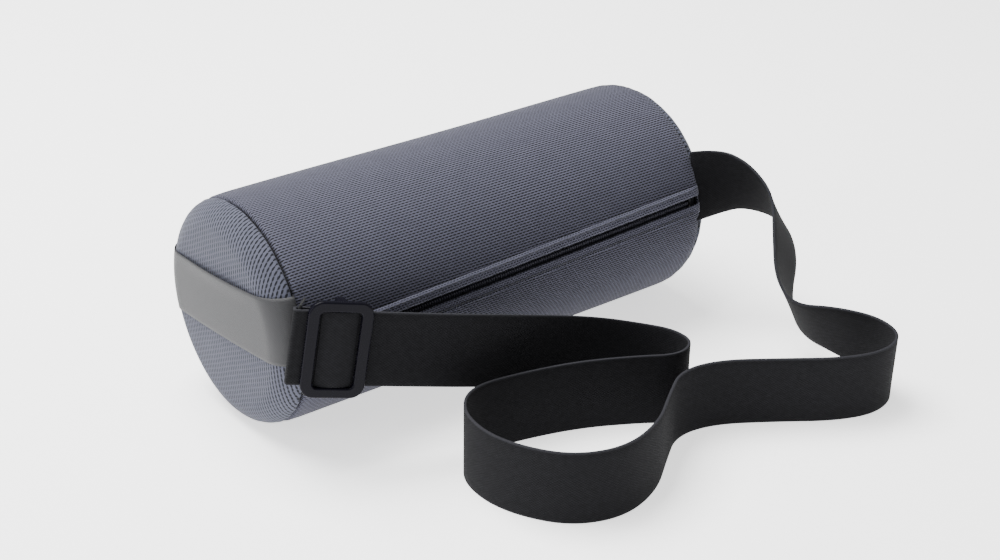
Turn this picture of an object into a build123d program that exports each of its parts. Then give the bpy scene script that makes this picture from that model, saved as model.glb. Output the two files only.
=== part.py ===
"""Lumbar support cushion: a foam roll in a zipped mesh cover, with a long elastic strap.

Millimetres. X runs along the roll, +Z is up, and the origin is the middle of the flat on which
the roll rests. The zip and the strap are on the -Y side; the labelled end cap is at -X.
"""

import os
from math import asin, cos, degrees, radians, sin, sqrt

from build123d import *

os.makedirs("parts", exist_ok=True)

# Roll
roll_length = 280
roll_diameter = 120
end_rounding = 15
flat_depth = 1.0
cloth_thickness = 3.0
near_seam_x = -127
far_seam_x = 131
binding_thickness = 1.0
binding_width = 5.0
inner_gap = 0.2

# Label band across the near end
band_width = 34
band_thickness = 0.6
band_height = 66.5
band_tilt = -6.0

# Zip
zip_near_x = -112
zip_far_x = 124.5
zip_near_angle = 4.5
zip_far_angle = 12.5
slot_half_width = 6.0
groove_depth = 6.2
tape_thickness = 0.8
tape_half_gap = 0.5
tape_reach = 13.0
coil_inner = 0.45
coil_outer = 2.9
coil_height = 1.8
welt_inner = 2.6
welt_outer = 7.0
welt_thickness = 1.6
hem_inner = -3.6
hem_outer = -8.8
hem_thickness = 0.8
skin_gap = 0.2
stitch_length = 2.6
stitch_width = 0.5
stitch_height = 0.35
stitch_pitch = 3.5

# Zip slider and pull
slider_start = 4.0
slider_length = 9.0
slider_half_width = 3.9
plate_thickness = 0.6
slider_top = -0.3
web_half_width = 0.22
crown_half_width = 1.1
crown_height = 2.0
hinge_at = 11.0
hinge_height = 0.95
hinge_bar = 1.0
hinge_hole = 1.14
pull_half_width = 2.2
pull_length = 16.0
pull_thickness = 1.0

# Strap
strap_width = 39
strap_thickness = 1.4
running_gap = 0.3
fold_radius = 1.75

# Cord loop in the strap's fold
loop_cord = 1.2

# Strap slide
slide_length = 32.0
slide_height = 50.0
slide_thickness = 2.6
slide_corner = 7.0
window_length = 20.5
window_height = 39.6
centre_bar_width = 3.6
centre_bar_thickness = 2.2
slide_at = 19.6
sewn_tail = 10.0

# The strap's route: the centre of the webbing, and the level part of its upward direction.
strap_route = [
    ((-134.5, -62.7, 68.5), (0.20, 0.00)),
    ((-112.5, -70.9, 64.1), (0.20, 0.00)),
    ((-84.5, -81.3, 58.5), (0.20, 0.00)),
    ((-60.5, -89.8, 53.6), (0.20, 0.00)),
    ((-40, -92, 47.5), (0.25, 0.00)),
    ((-12, -94, 38.5), (0.30, 0.04)),
    ((20, -98, 28), (0.32, 0.16)),
    ((42, -106, 21), (0.26, 0.10)),
    ((56, -119, 19.5), (0.10, 0.00)),
    ((56, -135, 19.5), (0.04, 0.03)),
    ((42, -141, 19.5), (0.02, 0.05)),
    ((24, -129, 19.5), (0.00, 0.04)),
    ((-3, -115, 19.5), (0.00, 0.02)),
    ((-34, -106, 19.5), (0.00, 0.01)),
    ((-60, -102, 19.5), (0.00, 0.00)),
    ((-76, -115, 19.5), (0.02, 0.00)),
    ((-80, -137, 19.5), (0.00, 0.00)),
    ((-74, -159, 19.5), (0.00, 0.00)),
    ((-59, -180, 19.5), (0.00, 0.00)),
    ((-35, -189, 19.5), (0.00, 0.00)),
    ((-9, -182, 19.5), (0.00, 0.00)),
    ((13, -165, 19.5), (0.00, -0.02)),
    ((31, -152, 19.5), (0.00, -0.04)),
    ((54, -155, 19.5), (-0.02, -0.05)),
    ((81, -173, 19.5), (-0.04, -0.07)),
    ((106, -191, 19.5), (-0.04, -0.07)),
    ((129, -199, 19.5), (-0.04, -0.07)),
    ((148, -193, 20), (-0.08, -0.09)),
    ((153, -174, 21.5), (-0.16, -0.12)),
    ((145, -154, 24), (-0.32, -0.20)),
    ((135, -133, 25), (-0.55, -0.30)),
    ((139, -117, 36), (-0.66, -0.30)),
    ((153, -104, 54), (-0.74, -0.18)),
    ((161, -89, 68), (-0.64, -0.36)),
    ((155, -69, 76), (-0.32, -0.38)),
    ((144, -57, 77), (0.00, 0.00)),
    ((129, -53.5, 77), (0.00, 0.30)),
]

# Worked-out sizes
roll_radius = roll_diameter / 2
axis_height = roll_radius - flat_depth
axis_plane = Plane(origin=(0, 0, axis_height), x_dir=(1, 0, 0), z_dir=(0, -1, 0))
roll_axis = Axis((0, 0, axis_height), (1, 0, 0))


def save(part, name):
    """Label a finished piece and write it to its own file."""
    part.label = name
    export_step(part, f"parts/{name}.step")


# ---------------------------------------------------------------- the roll


def roll_form(inset):
    """The whole roll as one solid, drawn in by inset on every side and flat underneath."""
    half_length = roll_length / 2 - inset
    radius = roll_radius - inset
    with BuildPart() as form:
        with BuildSketch(axis_plane) as outline:
            with Locations((0, radius / 2)):
                Rectangle(2 * half_length, radius)
            fillet(outline.vertices().group_by(Axis.Y)[-1], end_rounding - inset)
        revolve(axis=roll_axis)
        split(bisect_by=Plane.XY.offset(inset), keep=Keep.TOP)
    return form.part


def roll_shell(inset, thickness, x_from, x_to):
    """A stretch of skin, from one x to another, whose outside is drawn in by inset."""
    with BuildPart() as shell:
        add(roll_form(inset))
        add(roll_form(inset + thickness), mode=Mode.SUBTRACT)
        split(bisect_by=Plane.YZ.offset(x_from), keep=Keep.TOP)
        split(bisect_by=Plane.YZ.offset(x_to), keep=Keep.BOTTOM)
    return shell.part


# The zip lies on a straight line, slightly askew to the roll's axis.
def roll_point(x, angle):
    """A point on the roll's side, at an angle up from the -Y direction."""
    drop = radians(angle)
    return Vector(x, -roll_radius * cos(drop), axis_height + roll_radius * sin(drop))


zip_start = roll_point(zip_near_x, zip_near_angle)
zip_end = roll_point(zip_far_x, zip_far_angle)
zip_length = (zip_end - zip_start).length
zip_along = (zip_end - zip_start).normalized()
middle_angle = radians((zip_near_angle + zip_far_angle) / 2)
zip_up = Vector(0, -cos(middle_angle), sin(middle_angle)).cross(zip_along).normalized()
zip_out = zip_along.cross(zip_up)
tape_radius = roll_radius - cloth_thickness - 0.3
coil_base = tape_radius - roll_radius + 0.3


def zip_section(distance):
    """The cross plane at a distance along the zip: its x is up the roll, its y points out."""
    return Plane(origin=zip_start + zip_along * distance, x_dir=zip_up, z_dir=zip_along)


def zip_skin(across, radius):
    """A plane that touches the skin half way along the zip, with its x along the zip."""
    turn = asin(across / radius)
    outward = zip_out * cos(turn) + zip_up * sin(turn)
    centre = zip_start + zip_along * (zip_length / 2) - zip_out * roll_radius
    return Plane(origin=centre + outward * radius, x_dir=zip_along, z_dir=outward)


def skin_strip(inset, thickness, across_from, across_to, length):
    """A strip cut from the roll's skin, beside the zip and parallel to it."""
    with BuildPart() as strip:
        add(roll_shell(inset, thickness, near_seam_x, far_seam_x))
        with BuildSketch(zip_skin(0, roll_radius - 8)):
            with Locations((0, (across_from + across_to) / 2)):
                Rectangle(length, abs(across_to - across_from))
        extrude(amount=20, mode=Mode.INTERSECT)
    return strip.part


with BuildPart() as foam_core:
    add(roll_form(cloth_thickness + binding_thickness + 2 * inner_gap))
    with BuildSketch(zip_section(-1)):
        with Locations((0, 0)):
            Rectangle(11, 2 * groove_depth)
    extrude(amount=zip_length + 2, mode=Mode.SUBTRACT)
save(foam_core.part, "foam_core")

with BuildPart() as cover_tube:
    add(roll_shell(0, cloth_thickness, near_seam_x, far_seam_x))
    with BuildSketch(zip_section(0)):
        Rectangle(2 * slot_half_width, 12)
    extrude(amount=zip_length, mode=Mode.SUBTRACT)
save(cover_tube.part, "cover_tube")

with BuildPart() as end_cap_near:
    add(roll_shell(0, cloth_thickness, -roll_length, near_seam_x))
save(end_cap_near.part, "end_cap_near")

with BuildPart() as end_cap_far:
    add(roll_shell(0, cloth_thickness, far_seam_x, roll_length))
save(end_cap_far.part, "end_cap_far")

binding_inset = cloth_thickness + inner_gap
with BuildPart() as seam_binding_near:
    add(roll_shell(binding_inset, binding_thickness, near_seam_x, near_seam_x + binding_width))
save(seam_binding_near.part, "seam_binding_near")

with BuildPart() as seam_binding_far:
    add(roll_shell(binding_inset, binding_thickness, far_seam_x - binding_width, far_seam_x))
save(seam_binding_far.part, "seam_binding_far")

band_plane = Plane(
    origin=(-roll_length / 2 - 2, 0, band_height),
    x_dir=(0, cos(radians(band_tilt)), sin(radians(band_tilt))),
    z_dir=(1, 0, 0),
)
with BuildPart() as label_band:
    add(roll_shell(-band_thickness, band_thickness, -roll_length, near_seam_x - 0.5))
    with BuildSketch(band_plane):
        Rectangle(2 * roll_diameter, band_width)
    extrude(amount=20, mode=Mode.INTERSECT)
save(label_band.part, "label_band")


# ---------------------------------------------------------------- the zip

tape_inset = roll_radius - tape_radius
for name, side in (("upper", 1), ("lower", -1)):
    edges = (side * tape_half_gap, side * tape_reach)
    with BuildPart() as tape:
        add(skin_strip(tape_inset, tape_thickness, *edges, zip_length - 1))
    save(tape.part, f"zipper_tape_{name}")

    with BuildPart() as coil:
        with BuildSketch(zip_section(3.4)) as coil_profile:
            with Locations((side * (coil_inner + coil_outer) / 2, coil_base + coil_height / 2)):
                Rectangle(coil_outer - coil_inner, coil_height)
            fillet(coil_profile.vertices(), 0.5)
        extrude(amount=zip_length - 6.8)
    save(coil.part, f"zipper_coil_{name}")

for name, distance in (("near", 0.9), ("far", zip_length - 2.7)):
    with BuildPart() as stop:
        with BuildSketch(zip_section(distance)) as stop_profile:
            with Locations((0, coil_base + 1.15)):
                Rectangle(6.4, 2.3)
            fillet(stop_profile.vertices().group_by(Axis.Y)[-1], 0.7)
        extrude(amount=1.8)
    save(stop.part, f"zipper_stop_{name}")

welt_rise = skin_gap + welt_thickness
with BuildPart() as upper_welt:
    add(skin_strip(-welt_rise, welt_thickness, welt_inner, welt_outer, zip_length))
save(upper_welt.part, "upper_welt")

hem_rise = skin_gap + hem_thickness
with BuildPart() as lower_hem:
    add(skin_strip(-hem_rise, hem_thickness, hem_outer, hem_inner, zip_length))
save(lower_hem.part, "lower_hem")

stitch_count = int(zip_length / stitch_pitch)
for name, across, rise in (("upper", 5.8, welt_rise), ("lower", -7.0, hem_rise)):
    with BuildPart() as topstitching:
        add(roll_shell(-rise - stitch_height, stitch_height, near_seam_x, far_seam_x))
        with BuildSketch(zip_skin(0, roll_radius - 8)):
            with Locations((0, across)):
                with GridLocations(stitch_pitch, 0, stitch_count, 1):
                    Rectangle(stitch_length, stitch_width)
        extrude(amount=20, mode=Mode.INTERSECT)
    save(topstitching.part, f"{name}_topstitching")


# ---------------------------------------------------------------- zip slider and pull

slider_end = slider_start + slider_length
coil_top = coil_base + coil_height
tape_inside = tape_radius - tape_thickness - roll_radius
with BuildPart() as zipper_slider:
    with BuildSketch(zip_section(slider_start)):
        with Locations((0, slider_top - plate_thickness / 2)):
            Rectangle(2 * slider_half_width, plate_thickness)
        flange = slider_half_width - coil_outer - 0.2
        flange_height = slider_top - coil_base - 0.5
        for side in (1, -1):
            with Locations((side * (slider_half_width - flange / 2), slider_top - flange_height / 2)):
                Rectangle(flange, flange_height)
        with Locations((0, tape_inside - 0.5 - plate_thickness / 2)):
            Rectangle(2 * slider_half_width, plate_thickness)
    extrude(amount=slider_length)
    nose_edges = zipper_slider.edges().filter_by(Axis((0, 0, 0), tuple(zip_out)))
    fillet(nose_edges.sort_by(Edge.length)[-4:], 0.35)
    with BuildSketch(zip_section(slider_start + 0.8)):
        web_height = slider_top - tape_inside + 0.8
        with Locations((0, slider_top - 0.1 - web_height / 2)):
            Rectangle(2 * web_half_width, web_height)
    extrude(amount=3.0)
    with BuildSketch(zip_section(hinge_at - 5)):
        crown_foot = slider_top - plate_thickness / 2
        with Locations((0, (crown_height + crown_foot) / 2)):
            Rectangle(2 * crown_half_width, crown_height - crown_foot)
    extrude(amount=6.1)
    with BuildSketch(
        Plane(
            origin=zip_start + zip_along * hinge_at + zip_out * hinge_height - zip_up * 2,
            x_dir=zip_along,
            z_dir=zip_up,
        )
    ):
        Circle(hinge_hole / 2)
    extrude(amount=4, mode=Mode.SUBTRACT)
save(zipper_slider.part, "zipper_slider")

hinge_point = zip_start + zip_along * hinge_at + zip_out * hinge_height
pull_plane = Plane(
    origin=hinge_point - zip_out * (pull_thickness / 2),
    x_dir=zip_along,
    z_dir=zip_out,
)
with BuildPart() as zipper_pull:
    with BuildSketch(pull_plane) as pull_outline:
        with Locations((pull_length / 2, 0)):
            Rectangle(pull_length, 2 * pull_half_width)
        fillet(pull_outline.vertices().group_by(Axis.X)[-1], 1.6)
        with Locations((0, 0)):
            Rectangle(4.4, 2 * crown_half_width + 0.5, mode=Mode.SUBTRACT)
        with Locations((pull_length - 4.2, 0)):
            SlotOverall(4.4, 1.8, mode=Mode.SUBTRACT)
    extrude(amount=pull_thickness)
    with BuildSketch(Plane(origin=hinge_point - zip_up * pull_half_width, z_dir=zip_up)):
        Circle(hinge_bar / 2)
    extrude(amount=2 * pull_half_width)
save(zipper_pull.part, "zipper_pull")


# ---------------------------------------------------------------- the strap

route_points = [Vector(*point) for point, lean in strap_route]
route_ups = [Vector(lx, ly, sqrt(1 - lx * lx - ly * ly)) for point, (lx, ly) in strap_route]


def strap_section(place, along, up):
    """A plane across the webbing: its x goes through the thickness, its y up the width."""
    along = along.normalized()
    up = (up - along * up.dot(along)).normalized()
    return Plane(origin=place, x_dir=along.cross(up), z_dir=along)


runs = list(zip(route_points[:-1], route_points[1:]))
sections = [strap_section(route_points[0], runs[0][1] - runs[0][0], route_ups[0])]
for i, (here, there) in enumerate(runs[1:-1], start=1):
    up = route_ups[i] + route_ups[i + 1]
    sections.append(strap_section((here + there) * 0.5, there - here, up))
sections.append(strap_section(route_points[-1], runs[-1][1] - runs[-1][0], route_ups[-1]))

with BuildPart() as strap:
    for here, there in zip(sections[:-1], sections[1:]):
        with BuildSketch(here):
            Rectangle(strap_thickness, strap_width)
        with BuildSketch(there):
            Rectangle(strap_thickness, strap_width)
        loft(ruled=True)
    add(roll_form(0), mode=Mode.SUBTRACT)
save(strap.part, "strap")
strap_line = Polyline(*[plane.origin for plane in sections])
print(f"strap: middle line {strap_line.length:.0f} mm, volume {strap.part.volume:.0f} mm3")

# The straight stretch beside the roll, on which the slide runs.
strap_along = (route_points[1] - route_points[0]).normalized()
strap_up = (route_ups[0] - strap_along * route_ups[0].dot(strap_along)).normalized()
strap_out = strap_along.cross(strap_up)
fold_centre = route_points[0] - strap_out * fold_radius


def strap_side(distance, half_width):
    """A plane on the webbing's lower edge: its x is along the strap, its y points inwards."""
    foot = route_points[0] + strap_along * distance - strap_up * half_width
    return Plane(origin=foot, x_dir=strap_along, z_dir=strap_up)


return_run = slide_at - sewn_tail - 0.1
half_strap = strap_thickness / 2
with BuildPart() as strap_fold:
    with BuildSketch(strap_side(0, strap_width / 2)):
        with Locations((0, fold_radius)):
            Circle(fold_radius + half_strap)
            Circle(fold_radius - half_strap, mode=Mode.SUBTRACT)
        with Locations((5, fold_radius)):
            Rectangle(10, 10, mode=Mode.SUBTRACT)
        with Locations((return_run / 2, 2 * fold_radius)):
            Rectangle(return_run, strap_thickness)
    extrude(amount=strap_width)
save(strap_fold.part, "strap_fold")

# A loop of cord from the near seam, which holds the strap's fold.
loop_half = strap_width / 2 + loop_cord / 2 + 0.1
to_seam = strap_along * 6 - strap_out * 14
loop_corners = [
    fold_centre - strap_up * loop_half + to_seam,
    fold_centre - strap_up * loop_half,
    fold_centre + strap_up * loop_half,
    fold_centre + strap_up * loop_half + to_seam,
]
with BuildPart() as strap_anchor_loop:
    with BuildLine() as loop_path:
        FilletPolyline(*loop_corners, radius=1.4)
    with BuildSketch(Plane(origin=loop_path.line @ 0, z_dir=loop_path.line % 0)):
        Circle(loop_cord / 2)
    sweep()
    add(roll_form(0), mode=Mode.SUBTRACT)
save(strap_anchor_loop.part, "strap_anchor_loop")


# ---------------------------------------------------------------- the strap slide

slide_centre = route_points[0] + strap_along * slide_at
slide_face = half_strap + running_gap
bar_outside = -half_strap - running_gap - strap_thickness
bar_middle = bar_outside - centre_bar_thickness / 2
slide_plane = Plane(origin=slide_centre, x_dir=strap_along, z_dir=strap_out)
lug_middle = (window_height + 0.6 + slide_height - 0.8) / 4
lug_width = (slide_height - 0.8 - window_height - 0.6) / 2

with BuildPart() as strap_slide:
    with BuildSketch(slide_plane.offset(slide_face)):
        RectangleRounded(slide_length, slide_height, slide_corner)
        RectangleRounded(window_length, window_height, 2.5, mode=Mode.SUBTRACT)
    extrude(amount=slide_thickness)
    rim = strap_slide.faces().sort_by(Axis(slide_centre, strap_out))[-1]
    fillet(rim.edges(), 0.9)
    with BuildSketch(slide_plane.offset(bar_outside - centre_bar_thickness)):
        for side in (1, -1):
            with Locations((0, side * lug_middle)):
                Rectangle(centre_bar_width + 1, lug_width)
    extrude(amount=slide_face - bar_outside + centre_bar_thickness + 0.5)
    with BuildSketch(slide_plane.offset(bar_outside - centre_bar_thickness)):
        Rectangle(centre_bar_width, 2 * lug_middle)
    extrude(amount=centre_bar_thickness)
save(strap_slide.part, "strap_slide")

with BuildPart() as strap_sewn_end:
    with BuildSketch(strap_side(slide_at, strap_width / 2)):
        with Locations((0, -bar_middle)):
            RectangleRounded(
                centre_bar_width + 0.2 + 2 * strap_thickness,
                centre_bar_thickness + 2 * strap_thickness,
                1.5,
            )
        with Locations((-sewn_tail / 2, 2 * fold_radius)):
            Rectangle(sewn_tail, 2 * strap_thickness)
        with Locations((0, -bar_middle)):
            Rectangle(centre_bar_width + 0.1, centre_bar_thickness, mode=Mode.SUBTRACT)
    extrude(amount=strap_width)
save(strap_sewn_end.part, "strap_sewn_end")

tail_outside = -2 * fold_radius + strap_thickness
with BuildPart() as sewn_end_stitching:
    with BuildSketch(slide_plane.offset(tail_outside)):
        with Locations((-8.6, 0), (-5.2, 0)):
            with GridLocations(0, stitch_pitch, 1, 10):
                Rectangle(stitch_width, stitch_length)
    extrude(amount=stitch_height)
save(sewn_end_stitching.part, "sewn_end_stitching")

print(f"zip: starts {zip_start}, along {zip_along}, up {zip_up}, out {zip_out}")
print(f"hinge: {hinge_point}, zip length {zip_length:.1f}")
print(f"strap stretch: along {strap_along}, up {strap_up}, out {strap_out}")
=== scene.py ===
# %% [markdown]
# # A lumbar support cushion
# A firm foam roll in a zipped air-mesh cover, with a label band across one end and a long
# elastic strap that is adjusted at a slide. The rigid frame of the cushion is already made, and
# this lesson dresses it: each soft piece is built over its plain solid, and the hard pieces get
# their finishes.

import math
import bpy
from mathutils import Matrix, Vector


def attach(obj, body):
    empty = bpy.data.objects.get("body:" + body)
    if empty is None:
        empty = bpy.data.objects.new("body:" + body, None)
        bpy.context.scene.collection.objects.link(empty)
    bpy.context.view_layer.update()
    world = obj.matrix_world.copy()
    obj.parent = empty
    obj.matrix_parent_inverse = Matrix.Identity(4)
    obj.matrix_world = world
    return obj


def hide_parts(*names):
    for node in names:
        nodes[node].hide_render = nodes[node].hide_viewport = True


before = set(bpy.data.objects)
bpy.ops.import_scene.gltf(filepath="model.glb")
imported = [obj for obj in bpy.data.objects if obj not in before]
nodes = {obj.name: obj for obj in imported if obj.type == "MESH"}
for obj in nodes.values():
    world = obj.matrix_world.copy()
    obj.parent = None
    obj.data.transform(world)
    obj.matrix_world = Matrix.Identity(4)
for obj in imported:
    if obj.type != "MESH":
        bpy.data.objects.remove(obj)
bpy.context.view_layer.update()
mm = 0.001

# %% [markdown]
# The camera comes first, because everything else is judged through it. It stands in front of the
# cushion, to the left, and looks down on it a little. A fairly long lens keeps the roll's far end
# nearly as large as its near end.

# %% Camera
look_azimuth = math.radians(-37.15)
look_elevation = math.radians(27.35)
look_distance = 0.9782
aim = Vector((0.0346, 0, 0.0258))
forward = Vector(
    (
        -math.sin(look_azimuth) * math.cos(look_elevation),
        math.cos(look_azimuth) * math.cos(look_elevation),
        -math.sin(look_elevation),
    )
)
bpy.ops.object.camera_add(
    location=aim - forward * look_distance, rotation=forward.to_track_quat("-Z", "Y").to_euler()
)
camera = bpy.context.object
camera.data.lens = 62.55
camera.data.sensor_width = 36
camera.data.clip_end = 50
bpy.context.scene.camera = camera
print("camera at", tuple(round(c, 3) for c in camera.location))

# %% [markdown]
# The strap is 39 mm elastic webbing, which stands on its edge on the table. Its shape is one
# smooth line, drawn as a NURBS curve through the air beside the roll, round a narrow bend, round
# a wide loop and back up to the far seam. A second curve carries the upper edge, so that the
# webbing can lean and twist as it goes.

# %% The strap's route
strap_width = 39 * mm
strap_thickness = 1.4 * mm
strap_route = [
    ((-134.5, -62.7, 68.5), (0.20, 0.00)),
    ((-112.5, -70.9, 64.1), (0.20, 0.00)),
    ((-84.5, -81.3, 58.5), (0.20, 0.00)),
    ((-60.5, -89.8, 53.6), (0.20, 0.00)),
    ((-40, -92, 47.5), (0.25, 0.00)),
    ((-12, -94, 38.5), (0.30, 0.04)),
    ((20, -98, 28), (0.32, 0.16)),
    ((42, -106, 21), (0.26, 0.10)),
    ((56, -119, 19.5), (0.10, 0.00)),
    ((56, -135, 19.5), (0.04, 0.03)),
    ((42, -141, 19.5), (0.02, 0.05)),
    ((24, -129, 19.5), (0.00, 0.04)),
    ((-3, -115, 19.5), (0.00, 0.02)),
    ((-34, -106, 19.5), (0.00, 0.01)),
    ((-60, -102, 19.5), (0.00, 0.00)),
    ((-76, -115, 19.5), (0.02, 0.00)),
    ((-80, -137, 19.5), (0.00, 0.00)),
    ((-74, -159, 19.5), (0.00, 0.00)),
    ((-59, -180, 19.5), (0.00, 0.00)),
    ((-35, -189, 19.5), (0.00, 0.00)),
    ((-9, -182, 19.5), (0.00, 0.00)),
    ((13, -165, 19.5), (0.00, -0.02)),
    ((31, -152, 19.5), (0.00, -0.04)),
    ((54, -155, 19.5), (-0.02, -0.05)),
    ((81, -173, 19.5), (-0.04, -0.07)),
    ((106, -191, 19.5), (-0.04, -0.07)),
    ((129, -199, 19.5), (-0.04, -0.07)),
    ((148, -193, 20), (-0.08, -0.09)),
    ((153, -174, 21.5), (-0.16, -0.12)),
    ((145, -154, 24), (-0.32, -0.20)),
    ((135, -133, 25), (-0.55, -0.30)),
    ((139, -117, 36), (-0.66, -0.30)),
    ((153, -104, 54), (-0.74, -0.18)),
    ((161, -89, 68), (-0.64, -0.36)),
    ((155, -69, 76), (-0.32, -0.38)),
    ((144, -57, 77), (0.00, 0.00)),
    ((129, -53.5, 77), (0.00, 0.30)),
]
route_points = [Vector(point) * mm for point, _ in strap_route]
route_ups = [Vector((x, y, math.sqrt(1 - x * x - y * y))) for point, (x, y) in strap_route]


def smooth_line(control_points, steps):
    """The points of a NURBS curve with these control points."""
    curve = bpy.data.curves.new("route", "CURVE")
    curve.dimensions = "3D"
    curve.resolution_u = steps
    spline = curve.splines.new("NURBS")
    spline.points.add(len(control_points) - 1)
    for knot, place in zip(spline.points, control_points):
        knot.co = (*place, 1)
    spline.order_u = 3
    spline.use_endpoint_u = True
    holder = bpy.data.objects.new("route", curve)
    bpy.context.collection.objects.link(holder)
    mesh = bpy.data.meshes.new_from_object(holder)
    line = [v.co.copy() for v in mesh.vertices]
    bpy.data.objects.remove(holder)
    bpy.data.curves.remove(curve)
    bpy.data.meshes.remove(mesh)
    return line


strap_line = smooth_line(route_points, 8)
edge_points = [p + up * strap_width / 2 for p, up in zip(route_points, route_ups)]
strap_edge = smooth_line(edge_points, 8)
strap_ups = [(edge - centre).normalized() for edge, centre in zip(strap_edge, strap_line)]
measured = sum((b - a).length for a, b in zip(strap_line[:-1], strap_line[1:]))
print("strap line:", len(strap_line), "points,", round(measured, 3), "m")

# %% [markdown]
# Every stretch of webbing is made the same way: a grid of faces follows the line, its columns
# run across the width, and a Solidify modifier gives it its thickness. The grid's UV map is in
# metres, along and across the webbing, so that the weave keeps its real size round every bend.


# %% A maker of webbing
def clear_selection():
    """Nothing is selected or active, so that the next operator acts only on what it is given."""
    if bpy.context.object and bpy.context.object.mode != "OBJECT":
        bpy.ops.object.mode_set(mode="OBJECT")
    bpy.ops.object.select_all(action="DESELECT")


def choose(piece):
    """Makes one piece the selected and active one."""
    clear_selection()
    piece.select_set(True)
    bpy.context.view_layer.objects.active = piece


def grid_piece(name, rows, uv_rows, closed=False):
    """A mesh with one row of points for each entry, joined by faces, with a UV map in metres."""
    across = len(rows[0])
    points = [p for row in rows for p in row]
    last = across if closed else across - 1
    faces = []
    corners = []
    for i in range(len(rows) - 1):
        for j in range(last):
            k = (j + 1) % across
            faces.append((i * across + j, i * across + k, (i + 1) * across + k, (i + 1) * across + j))
            next_uv = uv_rows[i][j + 1], uv_rows[i + 1][j + 1]
            corners += [uv_rows[i][j], next_uv[0], next_uv[1], uv_rows[i + 1][j]]
    mesh = bpy.data.meshes.new(name)
    mesh.from_pydata(points, [], faces)
    layer = mesh.uv_layers.new(name="cloth")
    for loop, uv in zip(layer.data, corners):
        loop.uv = uv
    piece = bpy.data.objects.new(name, mesh)
    bpy.context.collection.objects.link(piece)
    choose(piece)
    bpy.ops.object.shade_smooth()
    return piece


def use_modifier(piece, kind, **settings):
    """Adds a modifier with these settings and applies it."""
    choose(piece)
    modifier = piece.modifiers.new(kind.lower(), kind)
    for key, value in settings.items():
        setattr(modifier, key, value)
    bpy.ops.object.modifier_apply(modifier=modifier.name)


def webbing(name, centres, ups, width, thickness, columns=9, start=0.0):
    """A ribbon of webbing along a line of centres, with its width in the direction of ups."""
    rows = []
    uv_rows = []
    travelled = start
    for i, centre in enumerate(centres):
        before = centres[max(i - 1, 0)]
        after = centres[min(i + 1, len(centres) - 1)]
        along = (after - before).normalized()
        up = (ups[i] - along * ups[i].dot(along)).normalized()
        if i:
            travelled += (centre - centres[i - 1]).length
        shares = [2 * j / (columns - 1) - 1 for j in range(columns)]
        rows.append([centre + up * share * width / 2 for share in shares])
        uv_rows.append([(travelled, share * width / 2) for share in shares])
    piece = grid_piece(name, rows, uv_rows)
    use_modifier(piece, "SOLIDIFY", thickness=thickness, offset=0, use_even_offset=False)
    use_modifier(piece, "BEVEL", width=0.25 * mm, segments=2, limit_method="ANGLE")
    return piece


strap = webbing("strap_webbing", strap_line, strap_ups, strap_width, strap_thickness)
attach(strap, "cushion")
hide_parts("strap")
print("strap:", len(strap.data.polygons), "faces")

# %% [markdown]
# The near end of the strap runs straight for a hand's breadth. Everything at that end is placed
# from three directions: along the strap, up its width and out of its face. The webbing turns
# round a loop of cord at the seam, and its tail runs back behind the strap to the slide's hidden
# middle bar, where it is sewn.

# %% Fold, sewn end and the bulge in the slide's window
strap_along = (route_points[1] - route_points[0]).normalized()
strap_up = (route_ups[0] - strap_along * route_ups[0].dot(strap_along)).normalized()
strap_out = strap_along.cross(strap_up)
slide_at = 19.6 * mm
fold_radius = 1.75 * mm
sewn_tail = 10 * mm


def beside_strap(distance, level):
    """A point on the middle of the strap's near stretch, at a level out of its face."""
    return route_points[0] + strap_along * distance + strap_out * level


def layer(name, flat_points, width, thickness, body):
    """A layer of webbing through points given as (distance along, level out)."""
    line = smooth_line([beside_strap(x, y) for x, y in flat_points], 6)
    piece = webbing(name, line, [strap_up] * len(line), width, thickness)
    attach(piece, body)
    return piece


fold_points = [
    (1.5 * mm, 0),
    (0, 0),
    (-fold_radius * 1.15, -0.1 * mm),
    (-fold_radius * 1.35, -fold_radius),
    (-fold_radius * 1.15, -2 * fold_radius + 0.1 * mm),
    (0, -2 * fold_radius),
    (slide_at - sewn_tail - 0.2 * mm, -2 * fold_radius),
]
strap_fold = layer("strap_turn", fold_points, strap_width, strap_thickness, "cushion")
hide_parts("strap_fold")

sewn_points = [
    (slide_at - sewn_tail, -2.8 * mm),
    (slide_at - 5 * mm, -2.8 * mm),
    (slide_at - 1.8 * mm, -1.7 * mm),
    (slide_at + 1.8 * mm, -1.7 * mm),
    (slide_at + 2.8 * mm, -2.0 * mm),
    (slide_at + 2.8 * mm, -5.0 * mm),
    (slide_at + 1.8 * mm, -5.3 * mm),
    (slide_at - 1.8 * mm, -5.3 * mm),
    (slide_at - 5 * mm, -4.2 * mm),
    (slide_at - sewn_tail, -4.2 * mm),
]
sewn_end = layer("strap_sewn_loop", sewn_points, strap_width, 1.3 * mm, "strap_slide")
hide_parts("strap_sewn_end")

bulge_points = [
    (slide_at - 9.0 * mm, 1.05 * mm),
    (slide_at - 8.2 * mm, 1.3 * mm),
    (slide_at - 6.0 * mm, 2.1 * mm),
    (slide_at - 2.0 * mm, 2.7 * mm),
    (slide_at + 2.0 * mm, 2.7 * mm),
    (slide_at + 6.0 * mm, 2.1 * mm),
    (slide_at + 8.2 * mm, 1.3 * mm),
    (slide_at + 8.9 * mm, 1.05 * mm),
]
window_bulge = layer("strap_window_bulge", bulge_points, 39.2 * mm, 0.6 * mm, "strap_slide")
print("fold, sewn loop and bulge made")

# %% [markdown]
# A plain pale floor and soft studio light. One very large light overhead gives the broad sheen on
# the top of the roll, a weaker one from the front left lifts the end cap, and the pale world fills
# the shadows.

# %% Floor and lights
bpy.ops.mesh.primitive_plane_add(size=12)
floor = bpy.context.object
floor.name = "floor"


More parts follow.
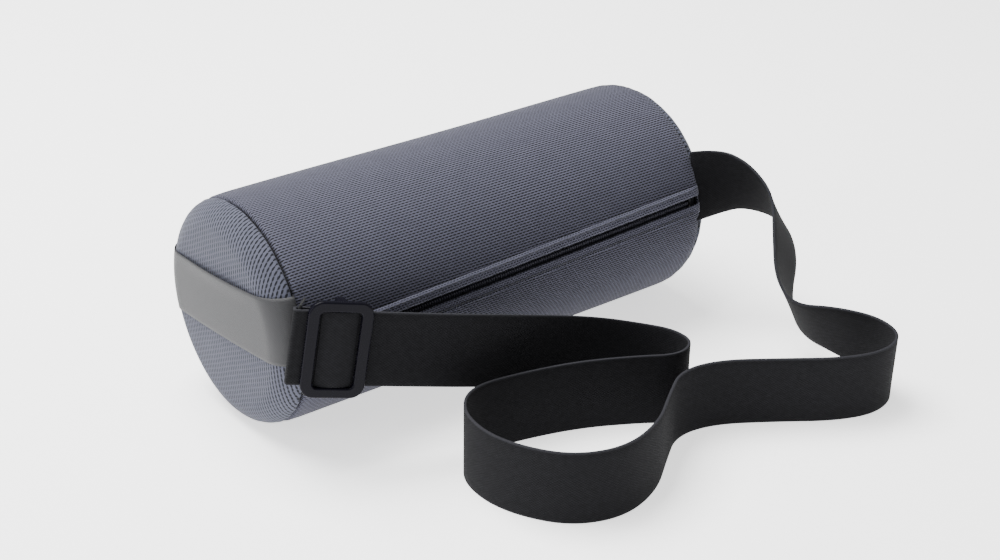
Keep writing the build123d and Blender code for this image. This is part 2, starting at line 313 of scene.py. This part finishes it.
def soft_light(name, place, size, power, towards):
    """A square area light, aimed at a point."""
    direction = Vector(towards) - Vector(place)
    bpy.ops.object.light_add(
        type="AREA", location=place, rotation=direction.to_track_quat("-Z", "Y").to_euler()
    )
    lamp = bpy.context.object
    lamp.name = name
    lamp.data.size = size
    lamp.data.energy = power


soft_light("overhead", (-0.3, 0.55, 1.5), 1.1, 78, (0, 0, 0.03))
soft_light("left", (-1.5, 0.1, 0.7), 0.8, 10, (-0.05, 0, 0.05))
world = bpy.data.worlds.new("studio")
bpy.context.scene.world = world
world.use_nodes = True
world.node_tree.nodes["Background"].inputs["Color"].default_value = (1, 1, 1, 1)
world.node_tree.nodes["Background"].inputs["Strength"].default_value = 0.58

# %% [markdown]
# The finishes share three effects, each a node group. The first draws the air mesh: rows of small
# slots, each row a little further along than the last, which gives the cloth its slanting look.
# The second draws woven threads, over and under, and the third mottles a colour.


# %% Shared effects
def new_group(name, inputs, outputs):
    """An empty shader node group with named number or vector sockets."""
    group = bpy.data.node_groups.new(name, "ShaderNodeTree")
    for label, kind, value in inputs:
        socket = group.interface.new_socket(label, in_out="INPUT", socket_type=kind)
        if value is not None:
            socket.default_value = value
    for label in outputs:
        group.interface.new_socket(label, in_out="OUTPUT", socket_type="NodeSocketFloat")
    entry = group.nodes.new("NodeGroupInput")
    leave = group.nodes.new("NodeGroupOutput")
    return group, entry, leave


def plug(tree, socket, value):
    """Links a socket or sets a number."""
    if hasattr(value, "node"):
        tree.links.new(value, socket)
    else:
        socket.default_value = value


def sums(tree, operation, a, b=0.0, clamp=False):
    """One Math node, and its result."""
    node = tree.nodes.new("ShaderNodeMath")
    node.operation = operation
    node.use_clamp = clamp
    plug(tree, node.inputs[0], a)
    plug(tree, node.inputs[1], b)
    return node.outputs[0]


def ease(tree, value, low, high, out_low=0.0, out_high=1.0):
    """A smooth step from one value to another."""
    node = tree.nodes.new("ShaderNodeMapRange")
    node.interpolation_type = "SMOOTHSTEP"
    plug(tree, node.inputs["Value"], value)
    for label, number in (("From Min", low), ("From Max", high), ("To Min", out_low), ("To Max", out_high)):
        node.inputs[label].default_value = number
    return node.outputs["Result"]


def noise(tree, vector, scale, detail=2.0):
    """A Noise texture's value."""
    node = tree.nodes.new("ShaderNodeTexNoise")
    tree.links.new(vector, node.inputs["Vector"])
    node.inputs["Scale"].default_value = scale
    node.inputs["Detail"].default_value = detail
    return node.outputs[0]


size_sockets = [("Vector", "NodeSocketVector", None)]
air_mesh, entry, leave = new_group(
    "air_mesh_slots",
    size_sockets
    + [
        ("Pitch Along", "NodeSocketFloat", 0.0022),
        ("Pitch Across", "NodeSocketFloat", 0.0012),
        ("Slant", "NodeSocketFloat", 0.36),
        ("Slot Length", "NodeSocketFloat", 0.36),
        ("Slot Width", "NodeSocketFloat", 0.33),
    ],
    ["Slot", "Height"],
)
parts = air_mesh.nodes.new("ShaderNodeSeparateXYZ")
air_mesh.links.new(entry.outputs["Vector"], parts.inputs[0])
rows_up = sums(air_mesh, "DIVIDE", parts.outputs["Y"], entry.outputs["Pitch Across"])
row = sums(air_mesh, "FLOOR", rows_up)
wander = sums(air_mesh, "MULTIPLY", noise(air_mesh, entry.outputs["Vector"], 60), 0.5)
steps_along = sums(air_mesh, "DIVIDE", parts.outputs["X"], entry.outputs["Pitch Along"])
shift = sums(air_mesh, "ADD", sums(air_mesh, "MULTIPLY", row, entry.outputs["Slant"]), wander)
share_of_step = sums(air_mesh, "FRACT", sums(air_mesh, "ADD", steps_along, shift))
place_along = sums(air_mesh, "SUBTRACT", share_of_step, 0.5)
place_up = sums(air_mesh, "SUBTRACT", sums(air_mesh, "FRACT", rows_up), 0.5)
share_along = sums(air_mesh, "DIVIDE", place_along, entry.outputs["Slot Length"])
share_up = sums(air_mesh, "DIVIDE", place_up, entry.outputs["Slot Width"])
squares = sums(
    air_mesh, "ADD", sums(air_mesh, "POWER", sums(air_mesh, "ABSOLUTE", share_along), 2.0),
    sums(air_mesh, "POWER", sums(air_mesh, "ABSOLUTE", share_up), 2.0),
)
slot_mask = ease(air_mesh, squares, 0.45, 1.25, 1.0, 0.0)
air_mesh.links.new(slot_mask, leave.inputs["Slot"])
air_mesh.links.new(sums(air_mesh, "SUBTRACT", 1.0, slot_mask), leave.inputs["Height"])

weave, entry, leave = new_group(
    "woven_threads",
    size_sockets
    + [("Thread Along", "NodeSocketFloat", 0.0008), ("Thread Across", "NodeSocketFloat", 0.0006)],
    ["Thread", "Height"],
)
parts = weave.nodes.new("ShaderNodeSeparateXYZ")
weave.links.new(entry.outputs["Vector"], parts.inputs[0])
threads_along = sums(weave, "DIVIDE", parts.outputs["X"], entry.outputs["Thread Along"])
wave_along = sums(weave, "SINE", sums(weave, "MULTIPLY", threads_along, math.pi))
threads_across = sums(weave, "DIVIDE", parts.outputs["Y"], entry.outputs["Thread Across"])
wave_across = sums(weave, "SINE", sums(weave, "MULTIPLY", threads_across, math.pi))
crossing = sums(weave, "MULTIPLY", wave_along, wave_across)
thread = sums(weave, "ADD", sums(weave, "MULTIPLY", crossing, 0.5), 0.5, clamp=True)
weave.links.new(thread, leave.inputs["Thread"])
weave.links.new(thread, leave.inputs["Height"])

mottle, entry, leave = new_group(
    "mottle", size_sockets + [("Scale", "NodeSocketFloat", 90.0)], ["Mottle"]
)
patches = mottle.nodes.new("ShaderNodeTexNoise")
mottle.links.new(entry.outputs["Vector"], patches.inputs["Vector"])
mottle.links.new(entry.outputs["Scale"], patches.inputs["Scale"])
patches.inputs["Detail"].default_value = 4
mottle.links.new(ease(mottle, patches.outputs[0], 0.25, 0.75), leave.inputs["Mottle"])
print("groups:", air_mesh.name, weave.name, mottle.name)

# %% [markdown]
# A finish starts with a Principled shader whose plain values sit on its own sockets. Its colour
# is a mix of a dark and a light tone, which one of the shared effects steers, and a Bump node
# takes the same effect's height.


# %% A maker of finishes
def finish_of(name, roughness, metallic=0.0, sheen=0.0, specular=0.5):
    """A new material, its node tree and its shader."""
    material = bpy.data.materials.new(name)
    material.use_nodes = True
    tree = material.node_tree
    shader = tree.nodes["Principled BSDF"]
    shader.inputs["Roughness"].default_value = roughness
    shader.inputs["Metallic"].default_value = metallic
    shader.inputs["Sheen Weight"].default_value = sheen
    shader.inputs["Sheen Roughness"].default_value = 0.5
    shader.inputs["Specular IOR Level"].default_value = specular
    return material, tree, shader


def coordinates(tree, uv=True):
    """The piece's own UV map, in metres, or its object coordinates."""
    node = tree.nodes.new("ShaderNodeTexCoord")
    return node.outputs["UV" if uv else "Object"]


def place_group(tree, group, vector, **values):
    """A group node with its own values."""
    node = tree.nodes.new("ShaderNodeGroup")
    node.node_tree = group
    tree.links.new(vector, node.inputs["Vector"])
    for label, value in values.items():
        node.inputs[label.replace("_", " ")].default_value = value
    return node


def blend_colours(tree, share, first, second):
    """A mix of two colours, or of a colour and another mix."""
    node = tree.nodes.new("ShaderNodeMix")
    node.data_type = "RGBA"
    plug(tree, node.inputs["Factor"], share)
    for socket, colour in ((node.inputs["A"], first), (node.inputs["B"], second)):
        if hasattr(colour, "node"):
            tree.links.new(colour, socket)
        else:
            socket.default_value = (*colour, 1)
    return node.outputs["Result"]


def bump(tree, shader, height, depth, strength=1.0):
    """A Bump node on the shader's normal. Depth is the relief's real height in metres."""
    node = tree.nodes.new("ShaderNodeBump")
    node.inputs["Strength"].default_value = strength
    node.inputs["Distance"].default_value = depth
    tree.links.new(height, node.inputs["Height"])
    tree.links.new(node.outputs["Normal"], shader.inputs["Normal"])


def air_mesh_finish(name, yarn, shade, dark, **sizes):
    """Spacer mesh: pale yarn, darker where it is mottled, and dark slots."""
    material, tree, shader = finish_of(name, roughness=0.85, sheen=0.05, specular=0.3)
    vector = coordinates(tree)
    slots = place_group(tree, air_mesh, vector, **sizes)
    patches = place_group(tree, mottle, vector, Scale=110.0)
    base = blend_colours(tree, patches.outputs["Mottle"], shade, yarn)
    colour = blend_colours(tree, slots.outputs["Slot"], base, dark)
    tree.links.new(colour, shader.inputs["Base Color"])
    bump(tree, shader, slots.outputs["Height"], 0.7 * mm, 1.0)
    return material


def woven_finish(name, light, dark, roughness, along, across, sheen=0.1, uv=True, edge=None, specular=0.3):
    """Woven tape: light thread tops, dark gaps, and paler edges if a half width is given."""
    material, tree, shader = finish_of(name, roughness=roughness, sheen=sheen, specular=specular)
    vector = coordinates(tree, uv)
    threads = place_group(tree, weave, vector, Thread_Along=along, Thread_Across=across)
    patches = place_group(tree, mottle, vector, Scale=350.0)
    wear = sums(tree, "ADD", sums(tree, "MULTIPLY", patches.outputs["Mottle"], 0.6), 0.4)
    tone = sums(tree, "MULTIPLY", threads.outputs["Thread"], wear)
    colour = blend_colours(tree, tone, dark, light)
    if edge:
        split = tree.nodes.new("ShaderNodeSeparateXYZ")
        tree.links.new(vector, split.inputs[0])
        rim = ease(tree, sums(tree, "ABSOLUTE", split.outputs["Y"]), edge - 1.2 * mm, edge)
        colour = blend_colours(tree, rim, colour, tuple(c * 1.8 for c in light))
    tree.links.new(colour, shader.inputs["Base Color"])
    bump(tree, shader, threads.outputs["Height"], 0.15 * mm, 0.7)
    return material


def moulded_finish(name, colour, roughness, metallic=0.0, grain=900.0, specular=0.4, relief=0.03 * mm):
    """A moulded or painted surface with a fine grain."""
    material, tree, shader = finish_of(name, roughness, metallic, specular=specular)
    vector = coordinates(tree, uv=False)
    patches = place_group(tree, mottle, vector, Scale=grain)
    paler = tuple(c * 1.35 for c in colour)
    tree.links.new(blend_colours(tree, patches.outputs["Mottle"], colour, paler), shader.inputs["Base Color"])
    rough = sums(tree, "ADD", sums(tree, "MULTIPLY", patches.outputs["Mottle"], 0.12), roughness - 0.06)
    tree.links.new(rough, shader.inputs["Roughness"])
    bump(tree, shader, patches.outputs["Mottle"], relief, 0.5)
    return material


tube_mesh = air_mesh_finish(
    "air_mesh_tube", (0.076, 0.077, 0.113), (0.068, 0.069, 0.102), (0.0035, 0.0035, 0.006),
    Pitch_Along=0.0024, Pitch_Across=0.0014, Slant=0.42, Slot_Length=0.50, Slot_Width=0.29,
)
cap_mesh = air_mesh_finish(
    "air_mesh_cap", (0.072, 0.076, 0.108), (0.064, 0.068, 0.097), (0.005, 0.006, 0.011),
    Pitch_Along=0.0028, Pitch_Across=0.0020, Slant=0.38, Slot_Length=0.50, Slot_Width=0.24,
)
webbing_finish = woven_finish(
    "elastic_webbing_black", (0.0105, 0.0105, 0.0125), (0.0026, 0.0026, 0.0032), 0.9, 0.0010, 0.0007,
    sheen=0.0, specular=0.15, edge=strap_width / 2,
)
# The webbing that bulges over the slide's hidden middle bar has lighter tones than the rest of the strap: a
# painted highlight on its rounded face in the slide's window.
bulge_highlight_finish = woven_finish(
    "elastic_webbing_painted_highlight", (0.0125, 0.0125, 0.0148), (0.0034, 0.0034, 0.0042), 0.9, 0.0010, 0.0007,
    sheen=0.0, specular=0.15,
)
fold_mesh = air_mesh_finish(
    "air_mesh_fold", (0.092, 0.093, 0.132), (0.078, 0.079, 0.114), (0.008, 0.008, 0.013),
    Pitch_Along=0.0019, Pitch_Across=0.0012, Slant=0.42, Slot_Length=0.40, Slot_Width=0.28,
)
cord_finish = woven_finish(
    "anchor_cord_black", (0.008, 0.008, 0.009), (0.003, 0.003, 0.003), 0.9, 0.0008, 0.0008,
    uv=False, specular=0.15,
)
plain_binding = woven_finish(
    "seam_tape_dark", (0.02, 0.02, 0.026), (0.008, 0.008, 0.011), 0.85, 0.0008, 0.0008, uv=False
)
tape_finish = woven_finish(
    "zip_tape_dark", (0.034, 0.034, 0.048), (0.016, 0.016, 0.023), 0.85, 0.0006, 0.0006, uv=False
)
satin_finish = woven_finish(
    "satin_band_grey", (0.0262, 0.0265, 0.0290), (0.0238, 0.0240, 0.0262), 0.6, 0.0005, 0.0004,
    sheen=0.05,
)
thread_finish = woven_finish(
    "thread_slate", (0.055, 0.055, 0.07), (0.025, 0.025, 0.033), 0.6, 0.0004, 0.0004, uv=False
)
coil_finish = moulded_finish("zip_coil_dark", (0.040, 0.040, 0.055), 0.38)
slide_finish = moulded_finish(
    "slide_plastic", (0.0030, 0.0028, 0.0050), 0.24,
    grain=1500.0, specular=0.07, relief=0.003 * mm,
)
metal_finish = moulded_finish("zip_metal_black", (0.02, 0.02, 0.023), 0.35, metallic=0.6)
foam_finish = moulded_finish("foam_cream", (0.62, 0.58, 0.46), 0.95, grain=1400.0)
floor_finish, _, floor_shader = finish_of("floor_white", 0.7)
floor_shader.inputs["Base Color"].default_value = (0.93, 0.93, 0.93, 1)
floor_shader.inputs["Emission Color"].default_value = (1, 1, 1, 1)
floor_shader.inputs["Emission Strength"].default_value = 1.3


def dress(piece, material):
    """Gives a piece one material."""
    piece.data.materials.clear()
    piece.data.materials.append(material)


dress(floor, floor_finish)
for piece in (strap, strap_fold, sewn_end):
    dress(piece, webbing_finish)
# The bulge gets the lighter webbing tones, a painted highlight.
dress(window_bulge, bulge_highlight_finish)
print("finishes:", len(bpy.data.materials))

# %% [markdown]
# The cover is cloth stretched over firm foam, so it keeps the roll's form: a cylinder with soft
# shoulders, a little flat underneath. A profile is spun round the roll's axis. Close to each seam
# the stitches pull the cloth down into a narrow groove and pucker it, which the points are moved
# to show.

# %% The roll's form
roll_radius = 60 * mm
roll_half = 140 * mm
end_rounding = 15 * mm
axis_height = 59 * mm
near_seam = -127 * mm
far_seam = 131 * mm
near_seam_depth = 2.6 * mm
far_seam_depth = 0.8 * mm
axis_middle = Vector((0, 0, axis_height))


def roll_height(x):
    """The roll's radius at x, on its sides and shoulders."""
    past = max(abs(x) - (roll_half - end_rounding), 0)
    return roll_radius - end_rounding + math.sqrt(end_rounding**2 - min(past, end_rounding) ** 2)


def seam_dip(x):
    """How far the cloth is pulled in at x by the nearer seam."""
    away = min(abs(x - near_seam), abs(x - far_seam))
    depth = near_seam_depth if x < 0 else far_seam_depth
    return depth * math.exp(-((away / (0.9 * mm)) ** 2)) + 0.5 * mm * math.exp(-((away / (6 * mm)) ** 2))


def pucker(x, angle):
    """Small gathers near a seam, and the slow waves of cloth over foam."""
    away = min(abs(x - near_seam), abs(x - far_seam))
    gathers = math.sin(31 * angle + 1.5 * math.sin(3 * angle)) * math.sin(12 * angle + 0.7)
    waves = math.sin(2 * angle + 34 * x) + math.sin(5 * angle - 21 * x + 1.0)
    return 0.22 * mm * gathers * math.exp(-((away / (7 * mm)) ** 2)) + 0.12 * mm * waves


def lay_cloth(piece, uv_of):
    """Writes the piece's UV map, in metres of cloth, from a rule for each corner of a face."""
    mesh = piece.data
    layer_uv = mesh.uv_layers.get("cloth") or mesh.uv_layers.new(name="cloth")
    layer_uv.active_render = True
    for face in mesh.polygons:
        for loop in face.loop_indices:
            layer_uv.data[loop].uv = uv_of(mesh.vertices[mesh.loops[loop].vertex_index].co, face.center)


def spun_cloth(name, profile, steps, uv_of, thickness=2.4 * mm):
    """Spins a profile of (x, radius) round the roll's axis into a piece of cloth."""
    mesh = bpy.data.meshes.new(name)
    points = [(x, 0, axis_height + r) for x, r in profile]
    mesh.from_pydata(points, [(i, i + 1) for i in range(len(points) - 1)], [])
    piece = bpy.data.objects.new(name, mesh)
    bpy.context.collection.objects.link(piece)
    choose(piece)
    bpy.ops.object.mode_set(mode="EDIT")
    bpy.ops.mesh.select_all(action="SELECT")
    bpy.ops.mesh.spin(steps=steps, angle=2 * math.pi, center=axis_middle, axis=(1, 0, 0))
    bpy.ops.mesh.select_all(action="SELECT")
    bpy.ops.mesh.remove_doubles(threshold=0.02 * mm)
    bpy.ops.mesh.normals_make_consistent(inside=False)
    bpy.ops.object.mode_set(mode="OBJECT")
    mesh = piece.data
    outward = sum(
        p.normal.dot(Vector((p.center.x * 0.3, p.center.y, p.center.z - axis_height)))
        for p in mesh.polygons
    )
    if outward < 0:
        mesh.flip_normals()
    for v in mesh.vertices:
        around = math.atan2(v.co.z - axis_height, -v.co.y)
        reach = math.hypot(v.co.y, v.co.z - axis_height)
        if reach > 1 * mm:
            new_reach = reach + pucker(v.co.x, around) * min(reach / roll_radius, 1)
            v.co.y *= new_reach / reach
            v.co.z = axis_height + (v.co.z - axis_height) * new_reach / reach
        v.co.z = max(v.co.z, 0.02 * mm)
    use_modifier(piece, "SOLIDIFY", thickness=thickness, offset=-1)
    lay_cloth(piece, uv_of)
    bpy.ops.object.shade_smooth()
    print(name, len(piece.data.polygons), "faces")
    return piece


def tube_uv(point, near):
    """Metres along the roll and round it, whole across each face."""
    turn = math.atan2(point.z - axis_height, -point.y)
    middle = math.atan2(near.z - axis_height, -near.y)
    turn += 2 * math.pi * round((middle - turn) / (2 * math.pi))
    return (point.x, turn * roll_radius)


def cap_uv(point, near):
    """The end's cloth lies flat on the disc and wraps over the shoulder, its slots upright."""
    reach = math.hypot(point.y, point.z - axis_height)
    flat = roll_radius - end_rounding
    past = max(reach - flat, 0) / end_rounding
    spread = (flat + end_rounding * math.asin(min(past, 1))) / max(reach, 1e-6) if reach > flat else 1.0
    return ((point.z - axis_height) * spread, point.y * spread)


tube_places = [near_seam + 0.25 * mm + (0.6 * mm) * i for i in range(12)]
tube_places += [near_seam + 8 * mm + 2 * mm * i for i in range(121)]
tube_places += [far_seam - 0.25 * mm - 0.6 * mm * i for i in range(11, -1, -1)]
tube_places = [x for i, x in enumerate(tube_places) if i == 0 or x > tube_places[i - 1]]
tube_profile = [(x, roll_height(x) - seam_dip(x)) for x in tube_places]
cover_tube = spun_cloth("cover_tube_cloth", tube_profile, 192, tube_uv)
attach(cover_tube, "cushion")
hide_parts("cover_tube")
dress(cover_tube, tube_mesh)


def cap_dome(reach):
    """How far the end's cloth swells out, at a distance from the roll's axis."""
    return 0.8 * mm * max(1 - (reach / (roll_radius - end_rounding)) ** 2, 0)


def cap_profile(end, seam):
    """The profile of an end cap, from its middle over the shoulder to its seam."""
    side = -1 if end < 0 else 1
    flat = roll_radius - end_rounding
    profile = [(end + side * cap_dome(flat * i / 12), flat * i / 12) for i in range(12)]
    span = math.acos(1 - (abs(end) - abs(seam) - 0.25 * mm) / end_rounding)
    for i in range(37):
        bend = span * i / 36
        x = side * (roll_half - end_rounding + end_rounding * math.cos(bend))
        profile.append((x, flat + end_rounding * math.sin(bend) - seam_dip(x)))
    return profile


for name, node, end, seam in (
    ("cap_near_cloth", "end_cap_near", -roll_half, near_seam),
    ("cap_far_cloth", "end_cap_far", roll_half, far_seam),
):
    cap = spun_cloth(name, cap_profile(end, seam), 144, cap_uv)
    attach(cap, "cushion")
    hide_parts(node)
    dress(cap, cap_mesh)

# %% [markdown]
# The zip crosses the front on a line that is slightly askew to the roll. The cover is cut open
# along it with a Boolean, and the cut's raw edges are hidden: above by a folded welt that
# overhangs the coil, and below by a flat hem with a thin ridge. Both follow the roll's curve.

# %% The zip's line and the cut in the cover
zip_near_x, zip_far_x = -112 * mm, 124.5 * mm
zip_near_angle, zip_far_angle = math.radians(4.5), math.radians(12.5)


def on_roll(x, angle, rise=0.0):
    """A point on the front of the roll, at an angle up, and at a rise off its surface."""
    reach = roll_height(x) + rise
    return Vector((x, -reach * math.cos(angle), axis_height + reach * math.sin(angle)))


zip_start = on_roll(zip_near_x, zip_near_angle)
zip_end = on_roll(zip_far_x, zip_far_angle)
zip_length = (zip_end - zip_start).length
zip_along = (zip_end - zip_start).normalized()
middle_angle = (zip_near_angle + zip_far_angle) / 2
zip_up = Vector((0, -math.cos(middle_angle), math.sin(middle_angle))).cross(zip_along).normalized()
zip_out = zip_along.cross(zip_up)
zip_turn = Matrix((zip_along, zip_up, zip_out)).transposed().to_4x4()


def beside_zip(distance, across, rise):
    """A point beside the zip, which keeps to the roll's curve."""
    line = zip_start + zip_along * distance
    angle = math.atan2(line.z - axis_height, -line.y) + across / roll_radius
    return on_roll(line.x, angle, rise)


bpy.ops.mesh.primitive_cube_add(size=1)
cutter = bpy.context.object
cut_length = zip_length + 4.5 * mm
cut_middle = Matrix.Translation(zip_start + zip_along * cut_length / 2)
cut_size = Matrix.Diagonal((cut_length, 12 * mm, 14 * mm, 1))
cutter.matrix_world = cut_middle @ zip_turn @ cut_size
choose(cutter)
bpy.ops.object.transform_apply(location=True, rotation=True, scale=True)
cutter.data.uv_layers.remove(cutter.data.uv_layers[0])
use_modifier(cover_tube, "BOOLEAN", object=cutter, operation="DIFFERENCE", solver="MANIFOLD")
bpy.data.objects.remove(cutter)
lay_cloth(cover_tube, tube_uv)
print("cover after the cut:", len(cover_tube.data.polygons), "faces, zip", round(zip_length, 4), "m")


def along_zip(name, profile, node):
    """A folded strip of cloth along the zip, from a closed profile of (across, rise)."""
    count = 121
    reach = zip_length + 5 * mm
    rows, uv_rows = [], []
    lengths = [0.0]
    for a, b in zip(profile, profile[1:] + profile[:1]):
        lengths.append(lengths[-1] + math.hypot(b[0] - a[0], b[1] - a[1]))
    for i in range(count):
        share = i / (count - 1)
        squeeze = min(0.12 + (1 - share) * reach / (9 * mm), 1.0)
        if i == 0:
            squeeze = 0.55
        ripple = 0.06 * mm * math.sin(i * 1.7) + 0.05 * mm * math.sin(i * 0.63 + 1)
        rows.append(
            [beside_zip(share * reach, a + ripple, 0.2 * mm + (h - 0.2 * mm) * squeeze) for a, h in profile]
        )
        uv_rows.append([(share * reach, v) for v in lengths])
    piece = grid_piece(name, rows, uv_rows, closed=True)
    choose(piece)
    bpy.ops.object.mode_set(mode="EDIT")
    bpy.ops.mesh.select_all(action="DESELECT")
    bpy.ops.mesh.select_non_manifold()
    bpy.ops.mesh.edge_face_add()
    bpy.ops.mesh.select_all(action="SELECT")
    bpy.ops.mesh.normals_make_consistent(inside=False)
    bpy.ops.object.mode_set(mode="OBJECT")
    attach(piece, "cushion")
    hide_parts(node)
    dress(piece, fold_mesh)
    return piece


welt_profile = [
    (2.1, 0.3), (1.7, 1.1), (2.1, 1.9), (3.2, 2.25),
    (4.6, 2.0), (5.8, 1.8), (6.6, 1.4), (7.2, 0.2),
]
hem_profile = [
    (-3.0, 0.2), (-3.0, 0.75), (-3.5, 1.05), (-5.2, 1.05),
    (-7.2, 0.98), (-7.7, 1.45), (-8.3, 1.45), (-8.9, 0.2),
]
along_zip("zip_welt_fold", [(a * mm, h * mm) for a, h in welt_profile], "upper_welt")
along_zip("zip_hem_fold", [(a * mm, h * mm) for a, h in hem_profile], "lower_hem")

# %% [markdown]
# The zip's chain is a nylon coil, which shows as a close row of small rounded bars on each side.
# One bar is shaped from a sphere, and an Array modifier repeats it along the zip. The two sides
# are half a step apart, as meshed teeth are.

# %% Coil teeth
tooth_pitch = 1.5 * mm
coil_run = zip_length - 1.5 * mm
tooth_count = int(coil_run / tooth_pitch)
for name, side, lag in (("upper", 1, 0.0), ("lower", -1, 0.5)):
    clear_selection()
    bpy.ops.mesh.primitive_uv_sphere_add(segments=8, ring_count=6, radius=1)
    teeth = bpy.context.object
    teeth.name = f"zip_teeth_{name}"
    bpy.ops.object.mode_set(mode="EDIT")
    bpy.ops.mesh.select_all(action="SELECT")
    bpy.ops.transform.resize(value=(0.62 * mm, 1.25 * mm, 0.88 * mm))
    bpy.ops.object.mode_set(mode="OBJECT")
    first = zip_start + zip_along * (3.4 * mm + tooth_pitch * (0.5 + lag / 2))
    first = first + zip_up * side * 1.68 * mm - zip_out * 2.1 * mm
    teeth.data.transform(Matrix.Translation(first) @ zip_turn)
    use_modifier(
        teeth, "ARRAY", count=tooth_count - 1, use_relative_offset=False, use_constant_offset=True,
        constant_offset_displace=tuple(zip_along * tooth_pitch),
    )
    bpy.ops.object.shade_smooth()
    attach(teeth, "cushion")
    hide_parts(f"zipper_coil_{name}")
    dress(teeth, coil_finish)
    print(teeth.name, len(teeth.data.polygons), "faces")

# %% [markdown]
# The label band is a satin ribbon stretched across the near end and sewn into the seam on both
# sides. It is drawn as a grid over the end's form. Its upper edge stands off the cap a little,
# because only its ends are held. It carries no print.

# %% Label band
band_width = 34 * mm
band_height = 66.5 * mm
band_tilt = math.radians(-6)
band_rows, band_uv = [], []
for j in range(19):
    share = j / 18
    across = (share - 0.5) * band_width
    line, line_uv = [], []
    for i in range(81):
        sweep = math.sin((i / 80 - 0.5) * math.pi)
        y = roll_radius * sweep
        z = band_height + y * math.tan(band_tilt) + across
        reach = math.hypot(y, z - axis_height)
        limit = 59.75 * mm
        if reach > limit:
            y = math.copysign(math.sqrt(max(limit**2 - (z - axis_height) ** 2, 0)), y)
            reach = limit
        past = max(reach - (roll_radius - end_rounding), 0)
        x = -(roll_half - end_rounding) - math.sqrt(max(end_rounding**2 - past**2, 0)) - cap_dome(reach)
        hump = math.exp(-(((1 - share) / 0.16) ** 2))
        lift = 0.5 * mm + 1.5 * mm * hump * math.cos(sweep * math.pi / 2) ** 2
        spread = past / end_rounding
        far = max(reach, 1e-6)
        normal = Vector(
            (-math.sqrt(max(1 - spread**2, 0)), y / far * spread, (z - axis_height) / far * spread)
        )
        line.append(Vector((x, y, z)) + normal * lift)
        line_uv.append((y, across))
    band_rows.append(line)
    band_uv.append(line_uv)
band = grid_piece("label_band_satin", band_rows, band_uv)
use_modifier(band, "SOLIDIFY", thickness=0.45 * mm, offset=0)
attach(band, "cushion")
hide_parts("label_band")
dress(band, satin_finish)
print("label band:", len(band.data.polygons), "faces")

# %% [markdown]
# The remaining pieces already have their real shape, and only need their finishes: the tapes and
# bindings behind the cloth, the stitches, the slider and its pull, the moulded strap slide, the
# cord loop and the foam.

# %% Finishes of the ready-made pieces
ready_made = {
    "foam_core": foam_finish,
    "seam_binding_near": plain_binding,
    "seam_binding_far": plain_binding,
    "zipper_tape_upper": tape_finish,
    "zipper_tape_lower": tape_finish,
    "zipper_stop_near": metal_finish,
    "zipper_stop_far": metal_finish,
    "upper_topstitching": thread_finish,
    "lower_topstitching": thread_finish,
    "zipper_slider": metal_finish,
    "zipper_pull": metal_finish,
    "strap_slide": slide_finish,
    "sewn_end_stitching": thread_finish,
    "strap_anchor_loop": cord_finish,
}
for name, material in ready_made.items():
    dress(nodes[name], material)
print("ready-made pieces:", len(ready_made))
